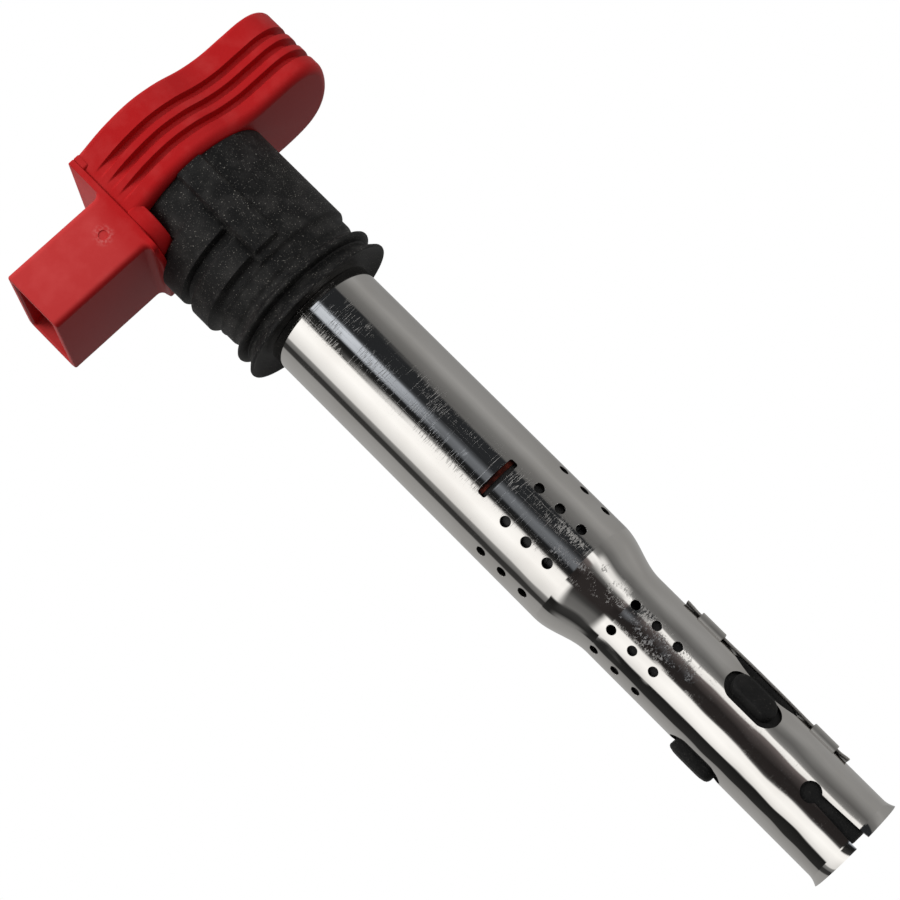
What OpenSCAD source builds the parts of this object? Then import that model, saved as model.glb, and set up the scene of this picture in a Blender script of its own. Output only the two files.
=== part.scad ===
// Pencil ignition coil: a pull grip with its plug socket, a rubber well seal, a steel shield tube
// over the windings, and a rubber boot with a sprung contact for the spark plug.
// The coil's axis is Z, with the head up. Z = 0 is the plane of the lower seal lip.
// The plug socket points to -X and the pull grip reaches out to +X, both turned a little about Z.

/* [Head] */
// Top of the grip above the lower seal lip
head_top_z = 46; // [45:0.5:48]
// Height of the grip
grip_h = 15.2; // [15:0.1:16]
// Turn of the head on the tube, in degrees
head_turn = 2.5; // [0:0.5:3]
// Depth of the finger grooves
groove_depth = 1.5; // [0.5:0.1:2]
// Height of each finger groove
groove_h = 1.3; // [0.8:0.1:1.6]
// Distance from one groove to the next
groove_pitch = 2.9; // [2.6:0.1:3]

/* [Plug socket] */
// Width of the socket's shroud
socket_w = 26.6; // [25:0.1:26.6]
// Height of the socket's shroud
socket_h = 12.6; // [12:0.1:13.5]
// Length of the shroud in front of the plate
socket_len = 21.1; // [18:0.1:24]
// Wall of the shroud
socket_wall = 1.5; // [1.2:0.1:2]
// Distance from one terminal to the next
terminal_pitch = 4; // [3.5:0.1:4.5]

/* [Shield tube] */
// Outer radius of the upper tube
tube_r = 11; // [11:0.1:11.2]
// Outer radius of the lower tube
tip_r = 8.8; // [8.8:0.1:9]
// Wall of the tube
tube_wall = 0.5; // [0.4:0.05:0.5]
// Length of the tube below the lower seal lip
tube_len = 129; // [128:0.5:131]
// Radius of the vent holes
vent_r = 0.92; // [0.7:0.02:1]

/* [Seal] */
// Radius of the lower seal lip
lip_r = 15.9; // [15.5:0.1:16.3]
// Radius of the seal's body
seal_r = 14.9; // [14.6:0.1:15.2]

/* [Plug end] */
// Radius of the boot's bore, which grips the spark plug's insulator
plug_r = 5.1; // [4.9:0.1:5.2]
// Travel of the sprung contact
contact_travel = 4; // [2:0.5:4]

/* [Hidden] */
$fn = 64;
eps = 0.01;

// Head
grip_z = head_top_z - grip_h;
plate_t = 1.2;
plate_back = -13.7;
plate_front = plate_back - plate_t;
plate_w = 26.6;
plate_z = 23;
plate_corner_r = 7;
plate_far_r = 3.5;
socket_z = 31.9;
socket_floor = 2.6;
socket_r = 1.2;
shoulder_x = -10.7;
shoulder_w = 26.6;
shoulder_z = 24;
shoulder_corner_r = 6;
spigot_z = 22;
spigot_r = 12.6;
cap_floor = 2.2;
cap_wall = 4;
first_groove_z = grip_z + 4.2;

// Pull grip outline, from the plate's near corner round the far lobe to its far corner
grip_points = [[-13.7, -12.7], [-12, -13.4], [-6.5, -15.8], [-0.3, -16.6], [5.5, -15], [11, -11.9],
    [15.5, -10.5], [20.5, -10.4], [25, -10.2], [28.4, -8.4], [30.8, -4.4], [31.7, 1.5], [31.4, 7.5],
    [29.8, 12.2], [26.5, 15.3], [21, 16.3], [14, 15.7], [6, 14.5], [-2, 13.6], [-13.7, 13.1]];
spline_steps = 5;
groove_start_x = -12;
groove_run_in = 9;

// Electronics
blade_w = 1.5;
blade_t = 0.64;
blade_z = 32;
tail_z = 35;
blade_tip_x = -32;
riser_x = -16.4;
tail_x = -8;
board_z = tail_z + blade_t / 2;
board_t = 1.6;
board_top = board_z + board_t;
chamber_z = grip_z + cap_floor;
chamber_top = head_top_z - 2.2;
lead_r = 0.35;
lead_pos = 8.6;

// Shield tube, lengths below the lower lip
neck_top = 64.3;
neck_end = 74.8;
neck_steps = 14;
flare_len = 2;
flare = 0.6;
tube_top_z = 24;
step_in = 0.5;
top_wall = 0.4;
upper_vents = [50.5, 55.4, 60.4];
upper_vent_angles = [for (i = [0:7]) -156 + 43.2 * i];
lower_vents = [75.6, 80.5, 85.4];
lower_vent_angles = [80, 119, 158, -80, -119, -158];
lower_vent_r = 0.84;
slot_z = -44.4;
slot_w = 8;
slot_h = 1.6;
earth_strip_w = 10;
window_angles = [-60, 60, 180];
window_z = -100.2;
window_w = 6;
window_h = 11.4;
window_r = 2.8;
keyhole_z = -117.4;
keyhole_r = 1.85;
keyhole_slot = 1.8;
keyhole_mouth = 2.8;
bridge_z = [-86.8, -113];
bridge_h = 5.4;
bridge_out = 1;
bridge_w = 7.4;
relief_z = -100;
relief_rho = 21.6;
relief_r = 6.85;

// Leaf spring
leaf_w = 5;
leaf_t = 0.4;
leaf_top = -80.8;
leaf_end = -118.4;

// Windings, radii
core_r = 5;
secondary_bore = 5.1;
secondary_in = 5.9;
secondary_out = 7.2;
primary_bore = 7.6;
primary_in = 8.3;
primary_out = 8.9;
case_in = 9;
case_out = 9.6;
outer_core_in = 9.62;
outer_core_out = 10.05;
winding_top = 17;
winding_end = -57;
lamination_count = 9;
core_top = 10;
core_end = -48;
magnet_h = 4;
cushion_h = 2;
tower_r = 6;
tower_in = 5;
cup_z = -84;

// Plug end
boot_r = 8.2;
boot_top = -78;
boot_end = -128;
land_r = 8.6;
land_w = 5.2;
land_h = 15;
spring_bore = 3.3;
shoulder_plug_z = -101;
cap_h = 3.5;
cap_r = 3;
spring_r = 2.4;
wire_r = 0.35;
spring_turns = 8;
spring_steps = 14;

// Catmull-Rom point between b and c
function spline(a, b, c, d, t) = 0.5 * (2 * b + (c - a) * t + (2 * a - 5 * b + 4 * c - d) * t * t
    + (3 * b - a - 3 * c + d) * t * t * t);
function at(p, i) = p[max(0, min(len(p) - 1, i))];
grip_curve = concat([for (i = [0:len(grip_points) - 2]) for (k = [0:spline_steps - 1])
    spline(at(grip_points, i - 1), grip_points[i], grip_points[i + 1], at(grip_points, i + 2),
        k / spline_steps)], [grip_points[len(grip_points) - 1]]);
function inward(i) = let (t = at(grip_curve, i + 1) - at(grip_curve, i - 1)) [-t[1], t[0]] / norm(t);
function ease(x) = let (t = max(0, min(1, x))) t * t * (3 - 2 * t);
function groove_run(x) = ease((x - groove_start_x) / groove_run_in);
// The grip's outline drawn in by a depth, full depth all round or fading out at the plate
function grip_outline(depth, fades) = [for (i = [0:len(grip_curve) - 1])
    let (d = fades ? depth * groove_run(grip_curve[i][0]) : depth, q = grip_curve[i] + inward(i) * d)
    [i == 0 || i == len(grip_curve) - 1 ? plate_back : max(q[0], plate_back), q[1]]];

// The head's own frame, turned about the coil's axis
module in_head() {
    rotate([0, 0, head_turn]) children();
}

module ring(r_out, r_in, z0, z1) {
    difference() {
        translate([0, 0, z0]) cylinder(r = r_out, h = z1 - z0);
        translate([0, 0, z0 - eps]) cylinder(r = r_in, h = z1 - z0 + 2 * eps);
    }
}

module rod(r, z0, z1) {
    translate([0, 0, z0]) cylinder(r = r, h = z1 - z0);
}

module rounded_rect(w, h, r) {
    square([w - 2 * r, h], center = true);
    square([w, h - 2 * r], center = true);
    for (x = [-1, 1]) for (y = [-1, 1]) translate([x * (w / 2 - r), y * (h / 2 - r)]) circle(r = r);
}

// A shape in the YZ plane, extruded from x0 to x1
module along_x(x0, x1) {
    translate([x0, 0, 0]) rotate([90, 0, 90]) linear_extrude(height = x1 - x0) children();
}

// A shape cut or built outwards from the axis at an angle
module outwards(angle, z, from, to) {
    rotate([0, 0, angle]) translate([from, 0, z]) rotate([90, 0, 90])
        linear_extrude(height = to - from) children();
}

// A plate outline with a square top and rounded lower corners, the one on +Y no larger
module tombstone(w, z0, z1, r, far_r) {
    translate([-w / 2, z0 + r]) square([w, z1 - z0 - r]);
    translate([-w / 2 + r, z0]) square([w - r - far_r, r + eps]);
    translate([w / 2 - far_r - eps, z0 + far_r]) square([far_r + eps, r - far_r + eps]);
    translate([-w / 2 + r, z0 + r]) circle(r = r);
    translate([w / 2 - far_r, z0 + far_r]) circle(r = far_r);
}

module connector_housing() {
    color("firebrick") in_head() difference() {
        union() {
            along_x(plate_front, plate_back) tombstone(plate_w, plate_z, head_top_z, plate_corner_r, plate_far_r);
            along_x(plate_front - socket_len, plate_front + eps)
                translate([0, socket_z]) rounded_rect(socket_w, socket_h, socket_r);
        }
        along_x(plate_front - socket_len - 1, plate_front - socket_floor)
            translate([0, socket_z]) rounded_rect(socket_w - 2 * socket_wall,
                socket_h - 2 * socket_wall, socket_r / 2);
        for (i = [0:3]) blade(i);
    }
}

module grip_cap() {
    color("firebrick") in_head() difference() {
        union() {
            difference() {
                translate([0, 0, grip_z]) linear_extrude(height = grip_h)
                    polygon(grip_outline(0, false));
                for (k = [0:2]) translate([0, 0, first_groove_z + k * groove_pitch - groove_h / 2])
                    difference() {
                        translate([-60, -60, 0]) cube([120, 120, groove_h]);
                        translate([0, 0, -eps]) linear_extrude(height = groove_h + 2 * eps)
                            polygon(grip_outline(groove_depth, true));
                    }
            }
            intersection() {
                rod(spigot_r, spigot_z, grip_z + eps);
                translate([plate_back, -spigot_r, spigot_z]) cube([40, 2 * spigot_r, 20]);
            }
            along_x(plate_back, shoulder_x)
                tombstone(shoulder_w, shoulder_z, grip_z + eps, shoulder_corner_r, shoulder_corner_r - eps);
        }
        translate([0, 0, chamber_z]) linear_extrude(height = chamber_top - chamber_z)
            polygon(grip_outline(cap_wall, false));
        rod(tube_r - step_in, spigot_z - 1, chamber_z + 1);
    }
}

// A terminal is a flat strip with its blade in the socket, a riser in the wall and its tail on the board
module blade(i) {
    strip = [[blade_tip_x, blade_z - blade_t / 2], [riser_x + blade_t, blade_z - blade_t / 2],
        [riser_x + blade_t, tail_z - blade_t / 2], [tail_x, tail_z - blade_t / 2],
        [tail_x, tail_z + blade_t / 2], [riser_x, tail_z + blade_t / 2],
        [riser_x, blade_z + blade_t / 2], [blade_tip_x, blade_z + blade_t / 2]];
    translate([0, (i - 1.5) * terminal_pitch + blade_w / 2, 0]) rotate([90, 0, 0])
        linear_extrude(height = blade_w) polygon(strip);
}

module terminal_supply() {
    color("silver") in_head() blade(0);
}

module terminal_trigger() {
    color("silver") in_head() blade(1);
}

module terminal_ground() {
    color("silver") in_head() blade(2);
}

module terminal_shield() {
    color("silver") in_head() blade(3);
}

module circuit_board() {
    color("seagreen") in_head() translate([-1, 0, board_z]) linear_extrude(height = board_t)
        rounded_rect(18, 16, 1.5);
}

module driver_transistor() {
    color("dimgray") in_head() translate([-5, -3.3, board_top]) cube([6.2, 6.6, 2.3]);
}

module heat_spreader() {
    color("lightgray") in_head() difference() {
        translate([-8, -6.5, board_top + 2.3]) cube([13, 13, 1.5]);
        for (s = [-1, 1]) translate([3, 4 * s, board_top + 2]) cylinder(r = 1.1, h = 3);
    }
}

module driver_chip() {
    color("black") in_head() translate([3, -2.5, board_top]) cube([4, 5, 1.5]);
}

module board_capacitors() {
    color("tan") in_head() for (p = [[-8, 3.8], [-3, 5], [3, 4.2], [3, -6]])
        translate([p[0], p[1], board_top]) cube([3.2, 1.6, 1.3]);
}

module head_potting() {
    color("black") difference() {
        in_head() translate([0, 0, chamber_z])
            linear_extrude(height = tail_z - blade_t / 2 - chamber_z)
                polygon(grip_outline(cap_wall, false));
        for (s = [-1, 1]) translate([0, s * lead_pos, chamber_z - 1]) cylinder(r = lead_r, h = 4);
    }
}

module seal_collar() {
    color([0.1, 0.1, 0.1]) difference() {
        rotate_extrude() polygon([[tube_r - step_in, 1.3], [13.6, 1.1], [lip_r - 0.3, 0],
            [lip_r, 0.4], [14.3, 2.2], [14, 3], [15.4, 3.6], [15.5, 4.2], [14.1, 5.2], [14.1, 8.2],
            [seal_r, 9.4], [seal_r, grip_z], [spigot_r, grip_z], [spigot_r, spigot_z],
            [tube_r - step_in, spigot_z]]);
        in_head() translate([-30, -20, shoulder_z]) cube([30 + shoulder_x, 40, 20]);
        in_head() translate([-30, -20, plate_z]) cube([30 + plate_back, 40, 20]);
    }
}

// Outer radius of the tube at a depth below the lip
function neck_r(t) = tube_r + (tip_r - tube_r) * (1 - cos(180 * t)) / 2;
neck_curve = [for (k = [0:neck_steps])
    [neck_r(k / neck_steps), -neck_top - (neck_end - neck_top) * k / neck_steps]];
function shifted(p, dx) = [for (q = p) [q[0] + dx, q[1]]];
function backwards(p) = [for (i = [len(p) - 1:-1:0]) p[i]];

module tube_wall_profile() {
    outer = concat([[tube_r - step_in, tube_top_z], [tube_r - step_in, 0], [tube_r, 0]], neck_curve,
        [[tip_r, -tube_len + flare_len], [tip_r + flare, -tube_len]]);
    inner = concat([[tube_r - step_in - top_wall, tube_top_z], [tube_r - step_in - top_wall, -1],
        [tube_r - tube_wall, -1]], shifted(neck_curve, -tube_wall),
        [[tip_r - tube_wall, -tube_len + flare_len], [tip_r + flare - tube_wall, -tube_len]]);
    polygon(concat(outer, backwards(inner)));
}

module relief() {
    translate([relief_r + relief_rho, 0, relief_z]) rotate([90, 0, 0])
        cylinder(r = relief_rho, h = 40, center = true);
}

module keyhole() {
    translate([0, keyhole_z]) circle(r = keyhole_r);
    polygon([[-keyhole_slot / 2, keyhole_z], [keyhole_slot / 2, keyhole_z],
        [keyhole_mouth / 2, -tube_len - 1], [-keyhole_mouth / 2, -tube_len - 1]]);
}

module shield_tube() {
    color("silver") difference() {
        union() {
            rotate_extrude() tube_wall_profile();
            for (z = bridge_z) intersection() {
                ring(tip_r + bridge_out, tip_r - tube_wall, z - bridge_h / 2, z + bridge_h / 2);
                translate([0, -bridge_w / 2, z - bridge_h]) cube([20, bridge_w, 2 * bridge_h]);
            }
        }
        for (a = upper_vent_angles) for (v = upper_vents)
            outwards(a, -v, tube_r - 3, tube_r + 3) circle(r = vent_r);
        for (a = lower_vent_angles) for (v = lower_vents)
            outwards(a, -v, tip_r - 3, tip_r + 3) circle(r = lower_vent_r);
        outwards(-90, slot_z, tube_r - 3, tube_r + 3) rounded_rect(slot_w, slot_h, slot_h / 2 - eps);
        for (a = window_angles)
            outwards(a, window_z, tip_r - 3, tip_r + 3) rounded_rect(window_w, window_h, window_r);
        for (a = [-90, 90]) outwards(a, 0, tip_r - 4, tip_r + 4) keyhole();
        for (z = bridge_z) translate([tip_r - 2, -leaf_w / 2 - 0.1, z - bridge_h])
            cube([2 + leaf_t + 0.12, leaf_w + 0.2, 2 * bridge_h]);
        relief();
    }
}

module leaf_spring() {
    color("lightsteelblue") union() {
        translate([tip_r, -leaf_w / 2, leaf_end]) cube([leaf_t, leaf_w, leaf_top - leaf_end]);
        translate([tip_r, -leaf_w / 2, leaf_end]) cube([2 * leaf_t, leaf_w, leaf_t]);
    }
}

module earth_strip() {
    color("peru") intersection() {
        ring(tube_r - tube_wall - 0.05, tube_r - tube_wall - 0.3, slot_z, -1.5);
        translate([-earth_strip_w / 2, -20, -60]) cube([earth_strip_w, 20, 90]);
    }
}

module outer_core() {
    color("slategray") difference() {
        ring(outer_core_out, outer_core_in, -60, 18);
        translate([-20, -0.4, -61]) cube([20, 0.8, 80]);
    }
}

module coil_case() {
    color([0.15, 0.15, 0.17]) rotate_extrude() polygon([[case_in, 20], [case_out, 20],
        [case_out, -63], [tower_r + 0.8, -72], [tower_r, -76], [tower_r, cup_z],
        [tower_in, cup_z], [tower_in, -75], [tower_in + 0.8, -71], [case_in, -62]]);
}

module bobbin(r_in, r_out, flange_r, z0, z1, flanges) {
    union() {
        ring(r_out, r_in, z0, z1);
        for (i = [0:flanges - 1]) let (z = z0 + (z1 - z0 - 1) * i / (flanges - 1))
            ring(flange_r, r_out - eps, z, z + 1);
    }
}

// The wire between a bobbin's flanges
module winding(r_in, r_out, z0, z1, flanges) {
    pitch = (z1 - z0 - 1) / (flanges - 1);
    for (i = [0:flanges - 2]) ring(r_out, r_in, z0 + i * pitch + 1, z0 + (i + 1) * pitch);
}

module primary_bobbin() {
    color("wheat") bobbin(primary_bore, primary_in, primary_out, winding_end, winding_top, 2);
}

module primary_winding() {
    color("chocolate") winding(primary_in, primary_out - 0.1, winding_end, winding_top, 2);
}

module primary_leads() {
    color("chocolate") for (s = [-1, 1]) translate([0, s * lead_pos, winding_top])
        cylinder(r = lead_r, h = board_z - winding_top);
}

module secondary_bobbin() {
    color("ivory") bobbin(secondary_bore, secondary_in, secondary_out + 0.2, winding_end, winding_top, 11);
}

module secondary_winding() {
    color("sienna") winding(secondary_in, secondary_out, winding_end, winding_top, 11);
}

module iron_core() {
    t = 2 * core_r / lamination_count;
    color("gray") for (i = [0:lamination_count - 1]) let (y = -core_r + i * t,
        far = max(abs(y), abs(y + t)), half = sqrt(max(1, core_r * core_r - far * far)))
        translate([-half, y + 0.02, core_end]) cube([2 * half, t - 0.04, core_top - core_end]);
}

module upper_magnet() {
    color("darkslategray") rod(core_r - 0.1, core_top, core_top + magnet_h);
}

module lower_magnet() {
    color("darkslategray") rod(core_r - 0.1, core_end - magnet_h, core_end);
}

module upper_cushion() {
    color("darkorange") rod(core_r - 0.1, core_top + magnet_h, core_top + magnet_h + cushion_h);
}

module lower_cushion() {
    color("darkorange") rod(core_r - 0.1, core_end - magnet_h - cushion_h, core_end - magnet_h);
}

module tube_potting() {
    color([0.2, 0.16, 0.12]) difference() {
        rod(case_in, -62, winding_end);
        rod(0.4, -63, winding_end + 1);
    }
}

module cutoff_diode() {
    color("black") translate([3.3, 0, 0]) rod(1.1, -71, -66);
}

module noise_resistor() {
    color("burlywood") union() {
        rod(1.9, -77, -65);
        rod(0.4, cup_z + 1, winding_end);
    }
}

module terminal_cup() {
    color("silver") difference() {
        rod(tower_in, cup_z, cup_z + 4);
        rod(tower_in - 0.5, cup_z + 1, cup_z + 5);
    }
}

// One wire swept round a helix, with closed end coils
function lift(u) = let (t = max(0, min(1, (u * spring_turns - 1) / (spring_turns - 2))))
    wire_r * 2 * (min(1, u * spring_turns) + min(1, max(0, (u - 1) * spring_turns + 1)))
    + t * (cup_z - shoulder_plug_z - cap_h - 6 * wire_r - 0.1);
spring_rings = spring_turns * spring_steps;
spring_wire = [for (i = [0:spring_rings]) let (u = i / spring_rings, a = 360 * spring_turns * u)
    for (k = [0:5]) let (b = 60 * k, r = spring_r + wire_r * cos(b))
    [r * cos(a), r * sin(a), shoulder_plug_z + cap_h + 0.05 + wire_r + lift(u) + wire_r * sin(b)]];

module contact_spring() {
    faces = concat([[for (k = [0:5]) k]],
        [for (i = [0:spring_rings - 1]) for (k = [0:5])
            [6 * i + k, 6 * (i + 1) + k, 6 * (i + 1) + (k + 1) % 6, 6 * i + (k + 1) % 6]],
        [[for (k = [5:-1:0]) 6 * spring_rings + k]]);
    color("silver") polyhedron(points = spring_wire, faces = faces, convexity = 10);
}

module contact_cap() {
    color("gold") difference() {
        rod(cap_r, shoulder_plug_z, shoulder_plug_z + cap_h);
        rod(cap_r - 1.6, shoulder_plug_z + 1, shoulder_plug_z + cap_h + 1);
    }
}

module plug_boot() {
    color([0.12, 0.12, 0.12]) difference() {
        union() {
            rod(boot_r, boot_end, boot_top);
            for (a = window_angles) intersection() {
                rod(tip_r + 1.6, window_z - window_h, window_z + window_h);
                outwards(a, window_z, 6.5, 12) rounded_rect(window_w - 0.3, window_h - 0.3, window_r - 0.15);
            }
            intersection() {
                rod(land_r, relief_z - land_h, relief_z + land_h);
                outwards(0, relief_z, 6.5, 12) rounded_rect(land_w, land_h, 2.2);
            }
        }
        rod(plug_r, boot_end - 1, shoulder_plug_z);
        rod(spring_bore, shoulder_plug_z - 1, cup_z + 1);
        rod(tower_r, cup_z, boot_top + 1);
    }
}

connector_housing();
grip_cap();
terminal_supply();
terminal_trigger();
terminal_ground();
terminal_shield();
circuit_board();
driver_transistor();
heat_spreader();
driver_chip();
board_capacitors();
head_potting();
seal_collar();
shield_tube();
leaf_spring();
earth_strip();
outer_core();
coil_case();
primary_bobbin();
primary_winding();
primary_leads();
secondary_bobbin();
secondary_winding();
iron_core();
upper_magnet();
lower_magnet();
upper_cushion();
lower_cushion();
tube_potting();
cutoff_diode();
noise_resistor();
terminal_cup();
contact_spring();
contact_cap();
plug_boot();
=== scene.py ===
from math import atan2, cos, degrees, hypot, pi, radians, sin, sqrt

import bpy
from mathutils import Matrix, Vector, kdtree


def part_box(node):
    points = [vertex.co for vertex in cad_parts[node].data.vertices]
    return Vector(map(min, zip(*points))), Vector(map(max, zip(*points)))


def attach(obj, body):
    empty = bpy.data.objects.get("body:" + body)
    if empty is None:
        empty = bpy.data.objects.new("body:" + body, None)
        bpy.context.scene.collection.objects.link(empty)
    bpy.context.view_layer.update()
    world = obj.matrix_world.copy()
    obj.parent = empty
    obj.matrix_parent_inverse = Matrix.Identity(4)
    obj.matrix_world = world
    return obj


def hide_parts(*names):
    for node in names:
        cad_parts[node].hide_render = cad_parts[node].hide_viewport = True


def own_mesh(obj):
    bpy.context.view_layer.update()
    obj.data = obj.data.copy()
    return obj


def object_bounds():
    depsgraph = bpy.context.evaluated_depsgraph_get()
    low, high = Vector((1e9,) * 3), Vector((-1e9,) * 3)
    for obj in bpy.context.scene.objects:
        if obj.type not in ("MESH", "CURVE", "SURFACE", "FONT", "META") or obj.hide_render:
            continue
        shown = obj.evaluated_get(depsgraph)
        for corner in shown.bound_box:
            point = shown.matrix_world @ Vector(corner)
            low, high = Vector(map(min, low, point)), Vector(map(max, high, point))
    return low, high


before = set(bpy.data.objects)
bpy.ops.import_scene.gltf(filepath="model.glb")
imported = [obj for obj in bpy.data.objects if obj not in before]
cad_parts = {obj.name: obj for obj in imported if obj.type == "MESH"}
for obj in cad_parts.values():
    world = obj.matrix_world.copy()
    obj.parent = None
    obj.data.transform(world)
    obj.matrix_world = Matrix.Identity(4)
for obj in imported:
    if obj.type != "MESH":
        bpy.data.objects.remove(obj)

cad_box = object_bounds()
MM = 0.001

# The camera: a long lens a little under half a metre from the coil and just below its middle, so that
# it looks up at the head. It is rolled, which lays the coil's axis along the frame's diagonal.
camera_place = Vector((-59.87, -426.37, -104.23)) * MM
camera_data = bpy.data.cameras.new("camera")
camera_data.sensor_width = 36
camera_data.lens = 101.3
camera_data.clip_start = 0.01
camera = bpy.data.objects.new("camera", camera_data)
bpy.context.scene.collection.objects.link(camera)
ahead = Vector((0.13527, 0.97749, 0.16193)).normalized()
right = Vector((0.71483, 0.01688, -0.69909))
right = (right - ahead * right.dot(ahead)).normalized()
turned = Matrix((right, right.cross(ahead), -ahead)).transposed()
camera.matrix_world = Matrix.Translation(camera_place) @ turned.to_4x4()
bpy.context.scene.camera = camera


# The studio: a white tent all round, with black flags and white strips standing round the coil. Only the
# bright metal shows them, as the long bands down its tube. Everything else is lit softly by the tent.
def linear(hex_colour):
    """The linear colour of an sRGB hex value."""
    parts = [int(hex_colour[i:i + 2], 16) / 255 for i in (1, 3, 5)]
    return tuple(p / 12.92 if p <= 0.04045 else ((p + 0.055) / 1.055) ** 2.4 for p in parts) + (1,)


def add_node(tree, kind, inputs=(), output=0, **settings):
    """Adds a node with its settings and inputs, and returns one of its outputs, or the node for None.

    The inputs are values or sockets to link, listed in the node's order or held by name or number.
    """
    node = tree.nodes.new("ShaderNode" + kind)
    for name, value in settings.items():
        setattr(node, name, value)
    for name, value in inputs.items() if isinstance(inputs, dict) else enumerate(inputs):
        if isinstance(value, bpy.types.NodeSocket):
            tree.links.new(value, node.inputs[name])
        else:
            node.inputs[name].default_value = value
    return node if output is None else node.outputs[output]


def build_studio():
    scene = bpy.context.scene
    scene.view_settings.view_transform = "Standard"
    scene.world = bpy.data.worlds.new("studio")
    scene.world.use_nodes = True
    tree = scene.world.node_tree
    tree.nodes.clear()
    place = add_node(tree, "TexCoord", output="Generated")
    axes = add_node(tree, "SeparateXYZ", [place], None).outputs
    angle = add_node(tree, "Math", [axes["Y"], axes["X"]], operation="ARCTAN2")
    # One turn round the coil runs from 0 to 1, with a half straight behind the camera
    facing = atan2(camera_place.y, camera_place.x) / (2 * pi)
    turn = add_node(tree, "Math", [angle, 1 / (2 * pi), 1.5 - facing], operation="MULTIPLY_ADD")
    turn = add_node(tree, "Math", [turn], operation="FRACT")
    warm, cool, brown = (1, 0.99, 0.972), (0.87, 0.93, 1.02), (1, 0.86, 0.84)

    def bands(rows):
        """Levels round the coil, by degrees from straight behind the camera, with a tint for some."""
        ramp = add_node(tree, "ValToRGB", [turn], None)
        elements = ramp.color_ramp.elements
        elements.remove(elements[-1])
        for k, (degree, level, *tint) in enumerate(rows):
            place = (degree + 180) / 360
            element = elements.new(place) if k else elements[0]
            element.position = place
            element.color = [level * t for t in (tint[0] if tint else warm)] + [1]
        return ramp.outputs["Color"]

    def above(low, high, bands_above, bands_below):
        """One set of bands giving way to another as a ray looks higher."""
        part = add_node(tree, "MapRange", [axes["Z"], low, high], interpolation_type="SMOOTHSTEP")
        return add_node(tree, "Mix", {0: part, 6: bands_below, 7: bands_above}, 2, data_type="RGBA")

    left = [(-180, 0.42), (-150, 0.44), (-120, 0.41), (-104, 0.36), (-101, 0.05), (-90, 0.04), (-87, 0.2),
            (-79, 0.3), (-76, 0.95), (-60, 1.2), (-46, 1.4), (-31, 1.33)]
    right = [(56, 0.17), (72, 0.23), (84, 0.34), (96, 0.41), (108, 0.36), (130, 0.33), (150, 0.3),
             (180, 0.36)]
    top = bands(left + [(-27, 0.06), (-14, 0.015), (-8, 0.02, cool), (-4, 0.85, cool), (11, 1.0, cool),
                        (15, 0.1, cool), (19, 0.03, cool), (53, 0.03, cool)] + right)
    upper = bands(left + [(-23, 1.2), (-18, 0.05), (-13, 0.015), (-6, 0.02, cool), (-2, 0.18, cool),
                          (8, 0.24, cool), (14, 0.1, cool), (19, 0.03, cool), (46, 0.03, cool), (50, 0.17)]
                  + right)
    lower = bands([(-180, 0.42), (-150, 0.43), (-120, 0.38), (-105, 0.31), (-103, 0.03), (-72, 0.015),
                   (-69, 1.0), (-58, 1.25), (-45, 1.38), (-29, 1.28), (-25, 0.1), (-20, 0.03, brown),
                   (0, 0.025, brown), (14, 0.08, brown), (25, 0.2, brown), (28, 1.1), (40, 1.3),
                   (43, 0.35), (50, 0.22), (60, 0.15), (72, 0.23), (84, 0.33), (96, 0.37), (120, 0.35),
                   (180, 0.38)])
    under = bands([(-180, 0.38), (-140, 0.4), (-112, 0.34), (-98, 0.24), (-90, 0.03), (-74, 0.05),
                   (-66, 0.2), (-48, 0.16), (-36, 0.06), (-24, 0.035, brown), (14, 0.035, brown),
                   (22, 0.15), (30, 0.75), (36, 1.25), (48, 1.0), (54, 0.5), (60, 0.14), (72, 0.2),
                   (84, 0.33), (108, 0.4), (130, 0.33), (180, 0.3)])
    tent = above(-0.32, -0.08, lower, under)
    tent = above(0.055, 0.09, upper, tent)
    tent = above(0.165, 0.225, top, tent)
    # Diffuse rays meet a plain grey that grows with height, and the camera sees white
    rays = add_node(tree, "LightPath", output=None).outputs
    soft = add_node(tree, "MapRange", [axes["Z"], -0.6, 0.9, 0.17, 0.62])
    lit = add_node(tree, "Mix", {0: rays["Is Glossy Ray"], 6: soft, 7: tent}, 2, data_type="RGBA")
    seen = add_node(tree, "Mix", {0: rays["Is Camera Ray"], 6: lit, 7: (1, 1, 1, 1)}, 2, data_type="RGBA")
    add_node(tree, "OutputWorld", [add_node(tree, "Background", [seen])], None)
    # Three soft boxes: a key high on the camera's left, a fill on its right and one from behind
    coil_middle = Vector((0, 0, 10)) * MM
    for name, spot, size, power in [("key", (-260, -420, 420), 0.3, 2.8),
                                    ("fill", (320, -300, 60), 0.35, 0.7),
                                    ("back", (150, 420, 260), 0.4, 1.5)]:
        data = bpy.data.lights.new(name, "AREA")
        data.size, data.energy = size, power
        lamp = bpy.data.objects.new(name, data)
        scene.collection.objects.link(lamp)
        lamp.location = Vector(spot) * MM
        lamp.rotation_euler = (lamp.location - coil_middle).to_track_quat("Z", "Y").to_euler()
        lamp.visible_glossy = False


build_studio()


# The floor: pale seamless paper, well under the coil's mouth, because the coil hangs as it does in its
# plug well. The paper has no sheen, and the bright metal doesn't mirror it.
def new_material(name, **values):
    """A material with its shader's plain inputs set. Returns the material, its tree and its shader."""
    material = bpy.data.materials.new(name)
    material.use_nodes = True
    tree = material.node_tree
    shader = tree.nodes["Principled BSDF"]
    for key, value in values.items():
        shader.inputs[key.replace("_", " ")].default_value = value
    return material, tree, shader


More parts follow.
